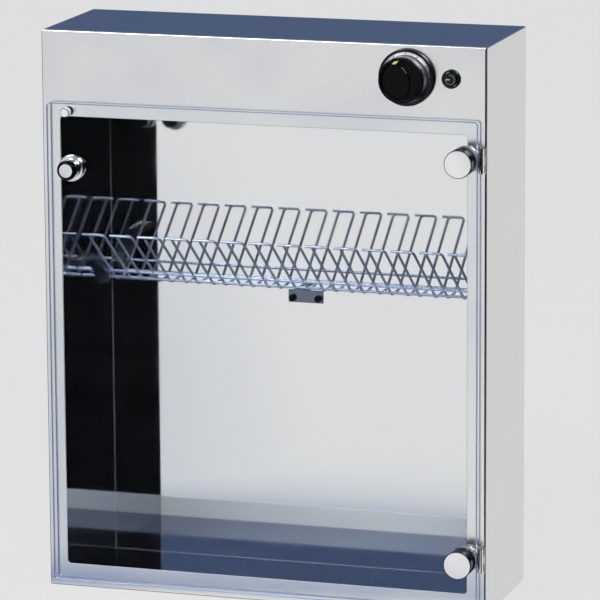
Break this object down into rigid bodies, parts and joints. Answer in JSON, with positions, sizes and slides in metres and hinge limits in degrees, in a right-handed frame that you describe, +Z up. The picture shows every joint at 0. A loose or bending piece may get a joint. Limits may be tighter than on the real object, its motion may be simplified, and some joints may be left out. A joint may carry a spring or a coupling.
{
  "type": "knife sterilizer cabinet",
  "caption": "Flat steel cabinet with a clear hinged door, ultraviolet lamp, timer knob, push button and a sloping wire rack that holds knives before a mirror back.",
  "frame": {"origin": "middle of the whole object's box, at the height of the cabinet's underside", "axes": "+Z up, -Y towards the user and the door, +X to the user's right when facing the door"},
  "size_m": [0.49, 0.194, 0.61],
  "materials": {
    "outer_wrap": "fine brushed",
    "front_panel": "fine brushed",
    "back_panel": "fine brushed",
    "back_spacer_left": "zinc plated",
    "back_spacer_right": "zinc plated",
    "liner_left": "polished",
    "liner_right": "polished",
    "chamber_floor": "polished",
    "polished_back": "mirror polished",
    "control_cover": "fine brushed",
    "cover_screw_left": "zinc plated",
    "cover_screw_right": "zinc plated",
    "cable_gland": "matt",
    "uv_tube": "clear quartz",
    "tube_cap_left": "satin",
    "tube_cap_right": "satin",
    "lamp_rotor_left": "white",
    "lamp_rotor_right": "white",
    "lamp_holder_left": "white",
    "lamp_holder_right": "white",
    "lamp_reflector": "bright rolled",
    "ballast": "plated",
    "starter_socket": "white",
    "starter": "white",
    "terminal_block": "white",
    "timer_body": "white",
    "timer_shaft": "plated",
    "timer_nut": "plated",
    "timer_dial": "black",
    "timer_knob": "black",
    "power_switch": "black",
    "power_button": "black with a green ring",
    "button_nut": "black",
    "door_switch": "black",
    "switch_plunger": "white",
    "door_panel": "clear acrylic",
    "hinge_leaf_upper": "bright",
    "hinge_leaf_lower": "bright",
    "hinge_arm_upper": "bright",
    "hinge_arm_lower": "bright",
    "hinge_pin_upper": "plated",
    "hinge_pin_lower": "plated",
    "hinge_cap_upper": "bright",
    "hinge_cap_lower": "bright",
    "hinge_washer_upper": "soft clear",
    "hinge_washer_lower": "soft clear",
    "handle_washer": "soft clear",
    "handle_knob": "bright",
    "handle_cap": "bright",
    "door_striker": "bright",
    "knife_rack": "bright wire",
    "rack_bracket_centre": "polished",
    "rack_bracket_left": "polished",
    "rack_bracket_right": "polished",
    "rack_screw_left": "dark",
    "rack_screw_right": "dark"
  },
  "bodies": {
    "cabinet": {"outer_wrap": "outer_wrap", "front_panel": "front_panel", "back_panel": "back_panel", "back_spacer_left": "back_spacer_left", "back_spacer_right": "back_spacer_right", "liner_left": "liner_left", "liner_right": "liner_right", "chamber_floor": "chamber_floor", "polished_back": "polished_back", "control_cover": "control_cover", "cover_screw_left": "cover_screw_left", "cover_screw_right": "cover_screw_right", "cable_gland": "cable_gland", "lamp_holder_left": "lamp_holder_left", "lamp_holder_right": "lamp_holder_right", "lamp_reflector": "lamp_reflector", "ballast": "ballast", "starter_socket": "starter_socket", "terminal_block": "terminal_block", "timer_body": "timer_body", "timer_nut": "timer_nut", "timer_dial": "timer_dial", "power_switch": "power_switch", "button_nut": "button_nut", "door_switch": "door_switch", "hinge_leaf_upper": "hinge_leaf_upper", "hinge_leaf_lower": "hinge_leaf_lower", "hinge_pin_upper": "hinge_pin_upper", "hinge_pin_lower": "hinge_pin_lower", "knife_rack": "knife_rack", "rack_bracket_centre": "rack_bracket_centre", "rack_bracket_left": "rack_bracket_left", "rack_bracket_right": "rack_bracket_right", "rack_screw_left": "rack_screw_left", "rack_screw_right": "rack_screw_right"},
    "door": {"door_panel": "door_panel", "hinge_arm_upper": "hinge_arm_upper", "hinge_arm_lower": "hinge_arm_lower", "hinge_cap_upper": "hinge_cap_upper", "hinge_cap_lower": "hinge_cap_lower", "hinge_washer_upper": "hinge_washer_upper", "hinge_washer_lower": "hinge_washer_lower", "handle_washer": "handle_washer", "handle_knob": "handle_knob", "handle_cap": "handle_cap", "door_striker": "door_striker"},
    "timer": {"timer_knob": "timer_knob", "timer_shaft": "timer_shaft"},
    "button": {"power_button": "power_button"},
    "plunger": {"switch_plunger": "switch_plunger"},
    "lamp": {"uv_tube": "uv_tube", "tube_cap_left": "tube_cap_left", "tube_cap_right": "tube_cap_right", "lamp_rotor_left": "lamp_rotor_left", "lamp_rotor_right": "lamp_rotor_right"},
    "starter_can": {"starter": "starter"}
  },
  "joints": [
    {"name": "door_hinge", "type": "hinge", "parent": "cabinet", "child": "door", "pos_m": [0.2414, -0.0678, 0.2705], "axis": [0, 0, 1], "range_deg": [0, 110]},
    {"name": "timer_turn", "type": "hinge", "parent": "cabinet", "child": "timer", "pos_m": [0.16, -0.063, 0.576], "axis": [0, 1, 0], "range_deg": [0, 300]},
    {"name": "power_press", "type": "slide", "parent": "cabinet", "child": "button", "axis": [0, 1, 0], "range_m": [0, 0.002], "stiffness_N_per_m": 600},
    {"name": "plunger_slide", "type": "slide", "parent": "cabinet", "child": "plunger", "axis": [0, -1, 0], "range_m": [0, 0.003]},
    {"name": "lamp_twist", "type": "hinge", "parent": "cabinet", "child": "lamp", "pos_m": [0, 0.053, 0.562], "axis": [1, 0, 0], "range_deg": [0, 90]},
    {"name": "starter_twist", "type": "hinge", "parent": "cabinet", "child": "starter_can", "pos_m": [-0.05, -0.041, 0.5503], "axis": [1, 0, 0], "range_deg": [0, 40]}
  ],
  "couplings": [
    {"joint": "plunger_slide", "follows": "door_hinge", "m_per_rad": 0.00156}
  ]
}
